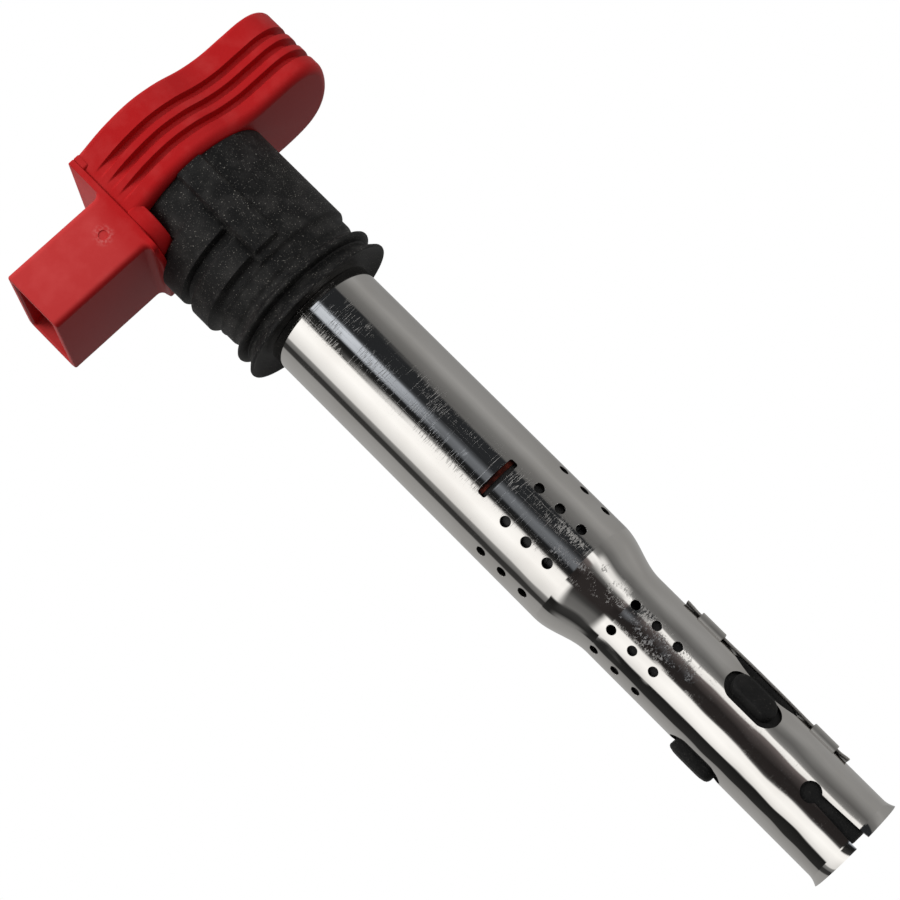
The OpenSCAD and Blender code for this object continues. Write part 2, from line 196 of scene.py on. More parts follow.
floor_gap, floor_r = 60, 500
bpy.ops.object.select_all(action="DESELECT")
bpy.ops.mesh.primitive_circle_add(vertices=96, radius=floor_r * MM, fill_type="NGON",
                                  location=(0, 0, cad_box[0][2] - floor_gap * MM))
floor = bpy.context.object
floor.name = "floor"
floor.data.materials.append(new_material("seamless_paper", Base_Color=linear("#f4f4f3"), Roughness=0.9)[0])
floor.visible_glossy = floor.visible_diffuse = False


# Enamelled copper for both windings: wire of a few tenths of a millimetre wound side by side, under a
# clear brown enamel. It is drawn as fine ridges round the axis, coarser than the real secondary wire.
def speckle(tree, size_mm, detail=3, stretch=(1, 1, 1)):
    """Noise over the piece with features of a size, which a stretch makes longer along an axis."""
    place = add_node(tree, "Mapping", {"Vector": add_node(tree, "TexCoord", output="Object"),
                                       "Scale": [1 / s for s in stretch]})
    return add_node(tree, "TexNoise", {"Vector": place, "Scale": 1 / (size_mm * MM), "Detail": detail})


def surface(tree, shader, factor, first, second, height, depth_mm, strength=1.0):
    """Colours a shader from one tone to another by a factor, and raises it by a height of a real depth."""
    tones = [linear(tone) if isinstance(tone, str) else tone for tone in (first, second)]
    colour = add_node(tree, "Mix", {0: factor, 6: tones[0], 7: tones[1]}, 2, data_type="RGBA")
    tree.links.new(colour, shader.inputs["Base Color"])
    bump = add_node(tree, "Bump", {"Height": height, "Strength": strength, "Distance": depth_mm * MM})
    tree.links.new(bump, shader.inputs["Normal"])


def finish_nodes(material, *names):
    """Gives carried-over CAD nodes their material."""
    for name in names:
        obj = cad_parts[name]
        obj.data.materials.clear()
        obj.data.materials.append(material)


def enamelled_copper(name, wire_mm, light, dark):
    """Ridges a wire apart up the winding, in two browns by patches, under a glossy coat."""
    material, tree, shader = new_material(name, Metallic=0.85, Roughness=0.3, Coat_Weight=0.5)
    # A wave texture of scale 1 has a ridge every 0.314 of its own units
    turns = add_node(tree, "TexWave", {
        "Vector": add_node(tree, "TexCoord", output="Object"), "Scale": 0.314 / (wire_mm * MM),
        "Distortion": 0.4, "Detail": 1.0}, "Fac", bands_direction="Z")
    patch = add_node(tree, "MapRange", [speckle(tree, 4), 0.3, 0.7])
    surface(tree, shader, patch, dark, light, turns, wire_mm * 0.4)
    return material


finish_nodes(enamelled_copper("enamelled_copper_fine", 0.25, "#a4552b", "#7d3a1c"), "secondary_winding")
finish_nodes(enamelled_copper("enamelled_copper", 0.5, "#b8683a", "#8f4522"), "primary_winding",
             "primary_leads")


# The core: a stack of silicon steel strips, grey with a thin insulating coat and the faint lines of
# cold rolling.
def rolled_steel(name, light, dark, roughness):
    material, tree, shader = new_material(name, Metallic=0.9, Roughness=roughness)
    lines = speckle(tree, 0.4, 4, (1, 1, 30))
    surface(tree, shader, add_node(tree, "MapRange", [lines, 0.35, 0.65]), dark, light, lines, 0.01)
    return material


finish_nodes(rolled_steel("coated_silicon_steel", "#6c6f74", "#484b50", 0.42), "iron_core")


# Sintered magnets at the core's ends, with soft silicone cushions beyond them that take up its growth
# with heat. Sintered grain is dark and slightly sparkling, and silicone is matt.
def grained(name, light, dark, grain_mm, depth_mm, **values):
    """A fine even grain in two near tones, raised a little."""
    material, tree, shader = new_material(name, **values)
    grain = speckle(tree, grain_mm, 5)
    surface(tree, shader, add_node(tree, "MapRange", [grain, 0.35, 0.65]), dark, light, grain, depth_mm)
    return material


finish_nodes(grained("sintered_magnet", "#4d4e52", "#2d2e31", 0.3, 0.03, Metallic=0.6, Roughness=0.5),
             "upper_magnet", "lower_magnet")
finish_nodes(grained("soft_silicone", "#d98a3c", "#b56b28", 0.6, 0.01, Roughness=0.6),
             "upper_cushion", "lower_cushion")

# The slit sleeve that carries the field back round the windings: silicon steel strip, rolled round the
# case and dipped in black varnish, which is what shows, dark, through the tube's vents.
finish_nodes(grained("black_varnish", "#1c1b1a", "#121212", 0.5, 0.01, Roughness=0.45), "outer_core")

# The two bobbins: natural glass-filled polyester, injection moulded, one inside the other round the core.
# The plastic is cream and slightly streaked by the flow of the melt.
finish_nodes(grained("natural_polyester", "#e9dfc4", "#d8caa4", 2.5, 0.02, Roughness=0.45),
             "primary_bobbin", "secondary_bobbin")

# The inner case, the diode and the chips: black compounds moulded round what they hold. Their fine
# texture is spark eroded into the mould.
finish_nodes(grained("black_moulding", "#1d1d1f", "#111113", 0.2, 0.015, Roughness=0.4),
             "coil_case", "cutoff_diode", "driver_transistor", "driver_chip")

# Cast resin: dark epoxy poured round the board in the head and over the windings in the tube, and cured
# there, which leaves it glossy with a slow ripple.
finish_nodes(grained("cast_epoxy", "#2a2520", "#1b1815", 3.0, 0.05, Roughness=0.16),
             "head_potting", "tube_potting")

# Ceramic bodies: the capacitors soldered to the board and the noise resistor in the high-voltage end.
# They are fired and unglazed, tan and dry.
finish_nodes(grained("fired_ceramic", "#c8ac85", "#b39468", 0.25, 0.01, Roughness=0.6),
             "board_capacitors", "noise_resistor")

# The driver's circuit board: glass cloth and epoxy under green solder mask. The weave of the cloth is
# about half a millimetre and shows faintly through the mask.
mask, tree, shader = new_material("solder_mask", Roughness=0.3)
weave = add_node(tree, "TexChecker", {"Vector": add_node(tree, "TexCoord", output="Object"),
                                      "Scale": 1 / (0.5 * MM)}, "Fac")
surface(tree, shader, weave, "#1d5c39", "#226641", weave, 0.01)
finish_nodes(mask, "circuit_board")

# The heat spreader: an aluminium plate stamped from rolled sheet and bonded over the transistor. The
# sheet's fine rolling lines stay on it.
finish_nodes(rolled_steel("rolled_aluminium", "#d4d6d8", "#b4b7ba", 0.3), "heat_spreader")

# The socket's four pins and the high-voltage cup: stamped and drawn bronze under tin plate, moulded or
# pressed into their places. The tin is bright and slightly mottled.
finish_nodes(grained("tin_plate", "#d7d5cf", "#bcb9b1", 0.8, 0.01, Metallic=1.0, Roughness=0.24),
             "terminal_supply", "terminal_trigger", "terminal_ground", "terminal_shield", "terminal_cup")

# The earth strip bonds the core's sleeve to the tube, just inside the tube's slot: a thin strip of bare
# copper, darkened by heat.
finish_nodes(grained("bare_copper", "#6b2a1d", "#2c0f0a", 1.2, 0.02, Metallic=0.8, Roughness=0.35),
             "earth_strip")


# The shield tube: one piece of bright steel, deep drawn, necked down by a smooth S and flared at its
# mouth. Vents, slot, windows and keyholes are punched, and two bridges are lanced out for the leaf.
def circle(r=1.0, count=192):
    """Points round a circle."""
    return [(r * cos(2 * pi * k / count), r * sin(2 * pi * k / count)) for k in range(count)]


def rounded_box(w, h, r, steps=8):
    """The outline of a rectangle with round corners, in mm."""
    points = []
    for k, (cx, cy) in enumerate([(1, 1), (-1, 1), (-1, -1), (1, -1)]):
        for i in range(steps + 1):
            a = pi / 2 * (k + i / steps)
            points.append((cx * (w / 2 - r) + r * cos(a), cy * (h / 2 - r) + r * sin(a)))
    return points


def stack(name, outline, levels, filled=True):
    """Extrudes an outline through levels in mm: each is a height and one or two scales of the outline."""
    bpy.ops.object.select_all(action="DESELECT")
    bpy.ops.mesh.primitive_circle_add(vertices=len(outline), fill_type="NGON" if filled else "NOTHING")
    obj = bpy.context.object
    obj.name = name
    levels = [(row[0] * MM, row[1], row[-1]) for row in levels]
    z, sx, sy = levels[0]
    for vertex, (x, y) in zip(obj.data.vertices, outline):
        vertex.co = (x * sx * MM, y * sy * MM, z)
    bpy.ops.object.mode_set(mode="EDIT")
    bpy.ops.mesh.select_all(action="SELECT")
    for next_z, next_sx, next_sy in levels[1:]:
        move = {"value": (0, 0, next_z - z)}
        if filled:
            bpy.ops.mesh.extrude_region_move(TRANSFORM_OT_translate=move)
        else:
            bpy.ops.mesh.extrude_edges_move(TRANSFORM_OT_translate=move)
        bpy.ops.transform.resize(value=(next_sx / sx, next_sy / sy, 1), center_override=(0, 0, 0))
        z, sx, sy = next_z, next_sx, next_sy
    bpy.ops.mesh.select_all(action="SELECT")
    bpy.ops.mesh.normals_make_consistent(inside=False)
    bpy.ops.object.mode_set(mode="OBJECT")
    return obj


def select_only(*objects):
    bpy.ops.object.select_all(action="DESELECT")
    for obj in objects:
        obj.select_set(True)
    bpy.context.view_layer.objects.active = objects[0]


def join(name, *objects):
    """Several objects as one, closed shells side by side in one mesh."""
    select_only(*objects)
    bpy.ops.object.join()
    objects[0].name = name
    return objects[0]


def apply_modifier(obj, kind, **settings):
    select_only(obj)
    modifier = obj.modifiers.new(kind.lower(), kind)
    for key, value in settings.items():
        setattr(modifier, key, value)
    bpy.ops.object.modifier_apply(modifier=modifier.name)
    return obj


def rounded(obj, width, segments=3):
    """Rounds an object's sharp edges."""
    return apply_modifier(obj, "BEVEL", width=width * MM, segments=segments, limit_method="ANGLE",
                          angle_limit=radians(40))


def combine(obj, operation, tool):
    """Cuts a tool out of an object or welds it on, and removes the tool."""
    apply_modifier(obj, "BOOLEAN", operation=operation, object=tool, solver="EXACT")
    bpy.data.objects.remove(tool)
    return obj


def moved(obj, matrix):
    obj.data.transform(matrix)
    return obj


def copied(obj):
    twin = obj.copy()
    twin.data = obj.data.copy()
    bpy.context.scene.collection.objects.link(twin)
    return twin


def smooth(obj, angle=32):
    select_only(obj)
    bpy.ops.object.shade_smooth_by_angle(angle=radians(angle))
    return obj


def place_piece(obj, body, node, material):
    """Gives a finished piece its material and says which body carries it and which node it replaces."""
    obj.data.materials.clear()
    obj.data.materials.append(material)
    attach(obj, body)
    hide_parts(node)
    return obj


# Turns a shape built up along Z so that it points away from the coil's axis along X
OUTWARDS = Matrix(((0, 0, 1, 0), (1, 0, 0, 0), (0, 1, 0, 0), (0, 0, 0, 1)))


def at_side(degree, z_mm, r_mm=0):
    """Where a shape stands on the tube: an angle, a height and a distance from the axis."""
    return (Matrix.Rotation(radians(degree), 4, "Z")
            @ Matrix.Translation((r_mm * MM, 0, z_mm * MM)) @ OUTWARDS)


def ease(x, low, high):
    """0 below low, 1 above high, and a smooth rise between."""
    t = min(1, max(0, (x - low) / (high - low)))
    return t * t * (3 - 2 * t)


def steps_between(a, b, count):
    return [a + (b - a) * k / count for k in range(count)]


tube_r, tip_r, wall = 11.0, 8.8, 0.5
neck_top, neck_end, flare_r, flare_h = -64.3, -74.8, 9.4, 2.1
tube_lo, tube_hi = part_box("shield_tube")
mouth_z, rim_z = tube_lo[2] / MM, tube_hi[2] / MM


def tube_radius(z):
    """The tube's outer radius at a height in mm."""
    if z > 0:
        return tube_r - 0.5
    if z > neck_top:
        return tube_r
    if z > neck_end:
        return tube_r + (tip_r - tube_r) * (1 - cos(pi * (neck_top - z) / (neck_top - neck_end))) / 2
    rise = max(0.0, (mouth_z + flare_h - z) / flare_h)
    return tip_r + (flare_r - tip_r) * rise * rise


def tube_solid(name, inset, beyond):
    heights = [rim_z + beyond, 0.4, 0.0] + steps_between(-1, neck_top, 8)
    heights += steps_between(neck_top, neck_end, 24) + steps_between(neck_end, mouth_z + flare_h, 10)
    heights += steps_between(mouth_z + flare_h, mouth_z, 8) + [mouth_z - beyond]
    return stack(name, circle(1, 256), [(z, tube_radius(max(z, mouth_z)) - inset) for z in heights])


def punch(outline, reach, r_mm, edge, half):
    """A punch that opens a little at the tube's skin, which leaves a rounded rim round its hole."""
    part_way, wide = 1 + edge * 0.3 / half, 1 + edge / half
    return stack("punch", outline, [(r_mm - 3, 1), (r_mm - edge, 1), (r_mm - edge * 0.3, part_way),
                                    (r_mm + 0.04, wide), (r_mm + reach, wide)])


shell = combine(tube_solid("shield_tube", 0, 0), "DIFFERENCE", tube_solid("bore", wall, 1))
# Under the leaf the wall is cut away in a long lens, round about a line across the tube
relief_r, relief_x, relief_z = 21.6, 6.85 + 21.6, -100
lens = moved(stack("lens", circle(relief_r, 200), [(-12, 1), (12, 1)]), Matrix.Rotation(pi / 2, 4, "X"))
combine(shell, "DIFFERENCE", moved(lens, Matrix.Translation((relief_x * MM, 0, relief_z * MM))))
# Each set of vents: their radius, the skin's, their heights and their angles
vents = [(0.92, tube_r, (-50.5, -55.4, -60.4), [-156 + 43.2 * k for k in range(8)]),
         (0.84, tip_r, (-75.6, -80.5, -85.4), (80, 119, 158, -80, -119, -158))]
tools = []
for radius, skin, heights, angles in vents:
    model = punch(circle(radius, 32), 1.5, skin, 0.17, radius)
    for degree in angles:
        tools += [moved(copied(model), at_side(degree, z)) for z in heights]
    bpy.data.objects.remove(model)
slot_w, slot_h, slot_z = 8.1, 1.7, -44.4
tools.append(moved(punch(rounded_box(slot_w, slot_h, 0.45), 2, tube_r, 0.14, 2.5), at_side(-90, slot_z)))
window_w, window_h, window_z, window_angles = 6.1, 11.5, -100.2, (-60, 60, 180)
for degree in window_angles:
    window = punch(rounded_box(window_w, window_h, 2.8, 12), 2, tip_r, 0.14, 4)
    tools.append(moved(window, at_side(degree, window_z)))


def keyhole_outline(r=1.85, slot=1.8, mouth=2.9, length=13.5):
    """A round hole with a slot that widens down to the mouth, as seen from outside."""
    start = atan2(-sqrt(r * r - slot * slot / 4), slot / 2)
    arc = [start + (pi - 2 * start) * k / 36 for k in range(37)]
    return [(r * cos(a), r * sin(a)) for a in arc] + [(-mouth / 2, -length), (mouth / 2, -length)]


keyhole_z = -117.4
for degree in (-90, 90):
    tools.append(moved(punch(keyhole_outline(), 1.5, tip_r, 0.2, 5), at_side(degree, keyhole_z)))
# The leaf passes through the tube's skin under each bridge
bridge_zs, bridge_h, leaf_w = (-86.8, -113.0), 5.4, 5.0
for z in bridge_zs:
    gap = stack("gap", rounded_box(leaf_w + 0.3, bridge_h, 0.3, 3), [(7, 1), (12, 1)])
    tools.append(moved(gap, at_side(0, z)))
combine(shell, "DIFFERENCE", join("punches", *tools))


def bridge(z):
    """A strap of the tube's own wall, pressed outwards between two cuts."""
    thick, top, span = 0.4, tip_r + 0.98, 3.9
    outer, inner = [], []
    for k in range(33):
        y = -span + 2 * span * k / 32
        lift = 1 - ease(abs(y), 2.7, 3.5)
        skin = sqrt(tip_r ** 2 - y * y)
        x = skin + (sqrt(top ** 2 - y * y * 0.25) - skin) * lift
        outer.append((x, y))
        inner.append((x - thick, y))
    return rounded(stack("strap", outer + inner[::-1], [(z - bridge_h / 2, 1), (z + bridge_h / 2, 1)]), 0.15)


shell = join("shield_tube", shell, *[bridge(z) for z in bridge_zs])
smooth(shell, 35)


def skin_normals(obj):
    """Gives the punched skin the even normals of the unpunched tube, so that its reflections run true."""
    mesh = obj.data
    normals = [(0, 0, 0)] * len(mesh.loops)
    for face in mesh.polygons:
        centre = face.center
        r = hypot(centre.x, centre.y)
        side = (face.normal.x * centre.x + face.normal.y * centre.y) / r
        if side < 0.8 or abs(r / MM - tube_radius(centre.z / MM)) > 0.03 or centre.z > 0:
            continue
        for loop in face.loop_indices:
            co = mesh.vertices[mesh.loops[loop].vertex_index].co
            z = min(co.z / MM, -0.06)
            slope = (tube_radius(z + 0.05) - tube_radius(z - 0.05)) / 0.1
            normals[loop] = Vector((co.x, co.y, -slope * hypot(co.x, co.y))).normalized()
    mesh.normals_split_custom_set(normals)


skin_normals(shell)


def bright_steel():
    """Bright drawn steel: near a mirror, with fine axial draw lines, ticks round it and scuffs."""
    material, tree, shader = new_material("bright_drawn_steel", Metallic=1.0)
    axes = add_node(tree, "SeparateXYZ", [add_node(tree, "TexCoord", output="Object")], None).outputs
    angle = add_node(tree, "Math", [axes["Y"], axes["X"]], operation="ARCTAN2")
    arc = add_node(tree, "Math", [angle, 10 * MM], operation="MULTIPLY")
    flat = add_node(tree, "CombineXYZ", [arc, axes["Z"]])

    def marks(across, along, detail, shift=0.0):
        """Noise with features of a width round the tube and a length along it, in mm."""
        place = add_node(tree, "Mapping", {"Vector": flat, "Location": (shift, shift * 0.7, shift),
                                           "Scale": (1 / (across * MM), 1 / (along * MM), 1)})
        return add_node(tree, "TexNoise", {"Vector": place, "Scale": 1.0, "Detail": detail})

    # Wear gathers on the side that faces -Y, where the coil has lain and been handled
    front = add_node(tree, "Math", [angle, pi / 2], operation="ADD")
    front = add_node(tree, "Math", [front], operation="ABSOLUTE")
    # Ticks in patches, hoops round the tube and draw lines along it, all fewer below the neck
    ticks = add_node(tree, "Math", [add_node(tree, "MapRange", [marks(2.0, 0.16, 3), 0.56, 0.64]),
                                    add_node(tree, "MapRange", [marks(3.0, 5.0, 4, 4.2), 0.47, 0.6])],
                     operation="MULTIPLY")
    hoops = add_node(tree, "MapRange", [marks(14, 0.12, 2, 7.7), 0.66, 0.70, 0, 0.6])
    draw = add_node(tree, "MapRange", [marks(0.14, 30, 2, 9.1), 0.6, 0.69, 0, 0.5])
    lines = add_node(tree, "Math", [ticks, hoops], operation="ADD", use_clamp=True)
    lines = add_node(tree, "Math", [lines, draw], operation="ADD", use_clamp=True)
    for share in (add_node(tree, "MapRange", [front, 0.36, 0.5, 1, 0.22]),
                  add_node(tree, "MapRange", [axes["Z"], -0.048, -0.066, 1, 0.25])):
        lines = add_node(tree, "Math", [lines, share], operation="MULTIPLY")
    # Scuffs in patches below the neck
    worn = add_node(tree, "MapRange", [marks(1.8, 2.6, 4, 2.7), 0.46, 0.6])
    for share in (add_node(tree, "MapRange", [marks(0.5, 0.35, 6, 5.2), 0.46, 0.6]),
                  add_node(tree, "MapRange", [axes["Z"], -0.096, -0.086, 0.2, 1]),
                  add_node(tree, "MapRange", [axes["Z"], -0.048, -0.066]),
                  add_node(tree, "MapRange", [front, 0.2, 0.42, 0.55, 0])):
        worn = add_node(tree, "Math", [worn, share], operation="MULTIPLY")
    rough = add_node(tree, "Math", [lines, 0.5, worn], operation="MULTIPLY_ADD", use_clamp=True)
    tree.links.new(add_node(tree, "MapRange", [rough, 0, 1, 0.03, 0.9]), shader.inputs["Roughness"])
    # Slow waves, which the neck's press leaves below it, make the reflections wander
    waves = add_node(tree, "Math", [marks(6, 10, 1, 1.1),
                                    add_node(tree, "MapRange", [axes["Z"], -0.048, -0.066, 0.12, 1])],
                     operation="MULTIPLY")
    height = add_node(tree, "Math", [lines, -0.01, waves], operation="MULTIPLY_ADD", use_clamp=True)
    stain = add_node(tree, "MapRange", [marks(9, 16, 4, 6.3), 0.4, 0.75])
    surface(tree, shader, stain, "#dcdad7", "#cfccc8", height, 0.5, 0.4)
    return material


place_piece(shell, "coil", "shield_tube", bright_steel())
# Sheared steel: the walls of the punched holes are torn by the punch, which leaves them dull, and their
# near-black colour is painted shade inside the holes
shell.data.materials.append(new_material("sheared_steel_painted_shade", Metallic=0.9, Roughness=0.5,
                                         Base_Color=linear("#2c2a28"))[0])
for face in shell.data.polygons:
    centre, r = face.center, hypot(face.center.x, face.center.y)
    side = (face.normal.x * centre.x + face.normal.y * centre.y) / r
    if abs(side) < 0.5 and centre.z < -0.04 and r / MM < tube_radius(centre.z / MM) - 0.06:
        face.material_index = 1


# The leaf spring: a flat strip of spring steel threaded under both bridges. Its ends turn up a little,
# and its middle bows out over the relief, which holds the coil firmly in its well.
leaf_lo, leaf_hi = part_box("leaf_spring")
leaf_t, leaf_end, leaf_top = 0.4, leaf_lo[2] / MM, leaf_hi[2] / MM
levels = [(leaf_end, 0.7, 0.97), (leaf_end + 0.06, 1)]
levels += [(z, 1) for z in steps_between(leaf_end + 0.4, leaf_top, 80)]
levels += [(leaf_top - 0.06, 1), (leaf_top, 0.7, 0.97)]
leaf = stack("leaf_spring", rounded_box(leaf_t, leaf_w, 0.1, 3), levels)
for vertex in leaf.data.vertices:
    z = vertex.co.z / MM
    bow = 0.1 * (1 - ease(abs(z - relief_z), 2, 11))
    turned_end = 0.25 * (1 - ease(z, leaf_end, leaf_end + 2.2)) + 0.15 * ease(z, leaf_top - 3.5, leaf_top)
    vertex.co.x += (tip_r + leaf_t / 2 + 0.02 + bow + turned_end) * MM
smooth(leaf, 35)
# Blued and worn spring steel: grey with a dull shine
leaf_steel = new_material("spring_steel", Metallic=0.6, Roughness=0.3, Base_Color=linear("#a5a29d"))[0]
place_piece(leaf, "coil", "leaf_spring", leaf_steel)


# The plug boot: black silicone rubber pressed into the tube from its mouth. Its bore grips the plug's
# insulator, a pad on it stands out through each window and a low land lies in the lens under the leaf.
boot_lo, boot_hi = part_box("plug_boot")
boot_r, boot_low, boot_high = 8.2, boot_lo[2] / MM, boot_hi[2] / MM
boot = stack("plug_boot", circle(1, 144), [
    (boot_low, 7.4), (boot_low + 0.15, 7.9), (boot_low + 0.5, boot_r), (-110, boot_r), (-90, boot_r),
    (boot_high - 0.4, boot_r), (boot_high, 7.8)])
pad_w, pad_h, land_w, land_h = 4.1, 9.0, 5.2, 15
for degree in window_angles:
    pad = stack("pad", rounded_box(pad_w, pad_h, 1.8, 10), [
        (7.0, 1), (9.3, 1), (9.7, 0.985), (9.95, 0.95), (10.15, 0.88), (10.3, 0.74), (10.37, 0.5),
        (10.4, 0.2)])
    for vertex in pad.data.vertices:
        rise = max(0, vertex.co.z / MM - 9)
        vertex.co.y += (0.28 * rise - 0.12 * rise * rise * (vertex.co.y < 0)) * MM
    combine(boot, "UNION", moved(pad, at_side(degree, window_z)))
land = stack("land", rounded_box(land_w, land_h, 2.2, 8), [(7.0, 1), (8.45, 1), (8.6, 0.97), (8.66, 0.9)])
combine(boot, "UNION", moved(land, at_side(0, relief_z)))
# Its bore from the mouth up: a lead-in, the plug's bore, the contact's and the recess for the coil's end
bores = stack("bores", circle(1, 96), [
    (boot_low - 1, 6.3), (boot_low, 6.0), (boot_low + 1.2, 5.25), (-124, 5.1), (-101.2, 5.1), (-101, 4.9),
    (-101, 3.3), (-84, 3.3), (-84, 6), (-77, 6)])
combine(boot, "DIFFERENCE", bores)
smooth(boot, 40)


def rubber(name, dust, haze):
    """Moulded black rubber, matt and a little hazy, with pale dust caught on it."""
    material, tree, shader = new_material(name, Roughness=0.62, Specular_IOR_Level=0.32)
    cloud = add_node(tree, "MapRange", [speckle(tree, 3, 8), 0.45, 0.8, 0, haze])
    black = add_node(tree, "Mix", {0: cloud, 6: linear("#101010"), 7: linear("#4a4846")}, 2,
                     data_type="RGBA")
    specks = add_node(tree, "MapRange", [speckle(tree, 0.22, 3), 0.64, 0.73, 0, dust])
    surface(tree, shader, specks, black, "#9b978f", speckle(tree, 0.35, 4), 0.05, 0.6)
    return material


place_piece(boot, "coil", "plug_boot", rubber("boot_rubber", 0.15, 0.12))


# The plug contact: a coil spring of 0.7 mm steel wire between the cup and a turned brass cap. The cap
# stands on the plug's tip and slides up the boot's bore as the spring shortens.
spring_top, spring_low, wire_r, spring_r = -84.05, -97.45, 0.35, 2.4
turns, steps, closed = 8, 28, 0.76
bpy.ops.object.select_all(action="DESELECT")
bpy.ops.mesh.primitive_circle_add(vertices=12, radius=wire_r * MM, location=(0, 0, 0))
spring = bpy.context.object
spring.name = "contact_spring"
foot = Matrix.Translation((spring_r * MM, 0, (spring_low + wire_r) * MM))
moved(spring, foot @ Matrix.Rotation(pi / 2, 4, "X"))
open_pitch = (spring_top - spring_low - 2 * wire_r - 2 * closed) / (turns - 2)
bpy.ops.object.mode_set(mode="EDIT")
bpy.ops.mesh.select_all(action="SELECT")
for k in range(turns * steps):
    pitch = closed if k < steps or k >= (turns - 1) * steps else open_pitch
    bpy.ops.mesh.extrude_edges_move(TRANSFORM_OT_translate={"value": (0, 0, pitch / steps * MM)})
    bpy.ops.transform.rotate(value=2 * pi / steps, orient_axis="Z", center_override=(0, 0, 0))
bpy.ops.mesh.select_all(action="DESELECT")
bpy.ops.mesh.select_non_manifold()
bpy.ops.mesh.edge_face_add()
bpy.ops.mesh.select_all(action="SELECT")
bpy.ops.mesh.normals_make_consistent(inside=False)
bpy.ops.object.mode_set(mode="OBJECT")
smooth(spring, 60)


def brushed(name, colour, roughness, along_mm=9, across_mm=0.4):
    """Sheet or wire with fine lines along Z."""
    material, tree, shader = new_material(name, Metallic=1.0, Base_Color=linear(colour))
    lines = speckle(tree, across_mm, 3, (1, 1, along_mm / across_mm))
    rough = add_node(tree, "MapRange", [lines, 0.3, 0.7, roughness - 0.08, roughness + 0.1])
    tree.links.new(rough, shader.inputs["Roughness"])
    bump = add_node(tree, "Bump", {"Height": lines, "Strength": 1.0, "Distance": 0.01 * MM})
    tree.links.new(bump, shader.inputs["Normal"])
    return material


place_piece(spring, "coil", "contact_spring", brushed("spring_wire", "#b4b3b2", 0.25))
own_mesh(spring)

cap = stack("contact_cap", circle(1, 96), [
    (-97.5, 1.7), (-97.5, 2.75), (-97.65, 2.95), (-97.8, 3), (-98.9, 3), (-99.05, 2.8), (-99.5, 2.8),
    (-99.65, 3), (-100.6, 3), (-100.85, 2.93), (-101, 2.7), (-101, 1.6), (-100.8, 1.3), (-100.6, 0.8),
    (-100.55, 0.2)])
smooth(cap, 40)
brass = brushed("turned_brass", "#d2ab5c", 0.24, 0.15, 0.3)
place_piece(cap, "contact", "contact_cap", brass)


# The connector housing: a hollow socket and its square plate, moulded in one in red glass-filled
# polyester. The plate closes the side of the head, and the whole head is turned a little on the coil.
head_turn = Matrix.Rotation(radians(2.5), 4, "Z")
head_top, plate_low, plate_front, plate_back, half_w = 46, 23, -14.9, -13.7, 13.3
shroud_h, shroud_z, shroud_end, shroud_wall = 12.6, 31.9, -36, 1.5


def plate_outline(low, corner, far_corner=None, top=head_top):
    """The plate from the side, as y and z: square above, with large round corners below."""
    far = far_corner or corner
    corners = [(half_w - 0.5, top - 0.5, 0.5), (0.5 - half_w, top - 0.5, 0.5),
               (corner - half_w, low + corner, corner), (half_w - far, low + far, far)]
    return [(y + r * cos(pi / 2 * (k + i / 12)), z + r * sin(pi / 2 * (k + i / 12)))
            for k, (y, z, r) in enumerate(corners) for i in range(13)]


def shroud_scales(inset):
    return 1 - inset / half_w, 1 - 2 * inset / shroud_h


housing = stack("connector_housing", plate_outline(plate_low, 7, 3.5), [(plate_front, 1), (plate_back, 1)])
rounded(moved(housing, OUTWARDS), 0.22)
# The shroud is rounded at its mouth and flares into the plate by a fillet
lip, fillet = 0.4, 1.3
levels = [(shroud_end + lip - lip * sin(a), *shroud_scales(lip - lip * cos(a)))
          for a in (pi / 2, pi / 3, pi / 6)]
levels += [(shroud_end + lip, 1), (-25, 1), (plate_front - fillet, 1)]
levels += [(plate_front - fillet + fillet * sin(a), 1, shroud_scales(fillet * cos(a) - fillet)[1])
           for a in (pi / 9, pi / 4.5, pi / 3, pi / 2.4, pi / 2)]
levels.append((plate_back - 0.3, 1, shroud_scales(-fillet)[1]))
shroud = stack("shroud", rounded_box(2 * half_w, shroud_h, 1.25), levels)
combine(housing, "UNION", moved(shroud, Matrix.Translation((0, 0, shroud_z * MM)) @ OUTWARDS))
mouth = stack("mouth", rounded_box(2 * (half_w - shroud_wall), shroud_h - 2 * shroud_wall, 0.7), [
    (shroud_end - 1, 1.03, 1.06), (shroud_end, 1.03, 1.06), (shroud_end + 0.35, 1), (plate_front - 2.6, 1)])
combine(housing, "DIFFERENCE", moved(mouth, Matrix.Translation((0, 0, shroud_z * MM)) @ OUTWARDS))
gate = Vector((-19.3, -half_w, 32.2)) * MM
dimple = stack("gate", circle(0.8, 32), [(-0.18, 1), (0, 1.12), (1, 1.3)])
combine(housing, "DIFFERENCE", moved(dimple, Matrix.Translation(gate) @ Matrix.Rotation(pi / 2, 4, "X")))
moved(housing, head_turn)
smooth(housing, 38)


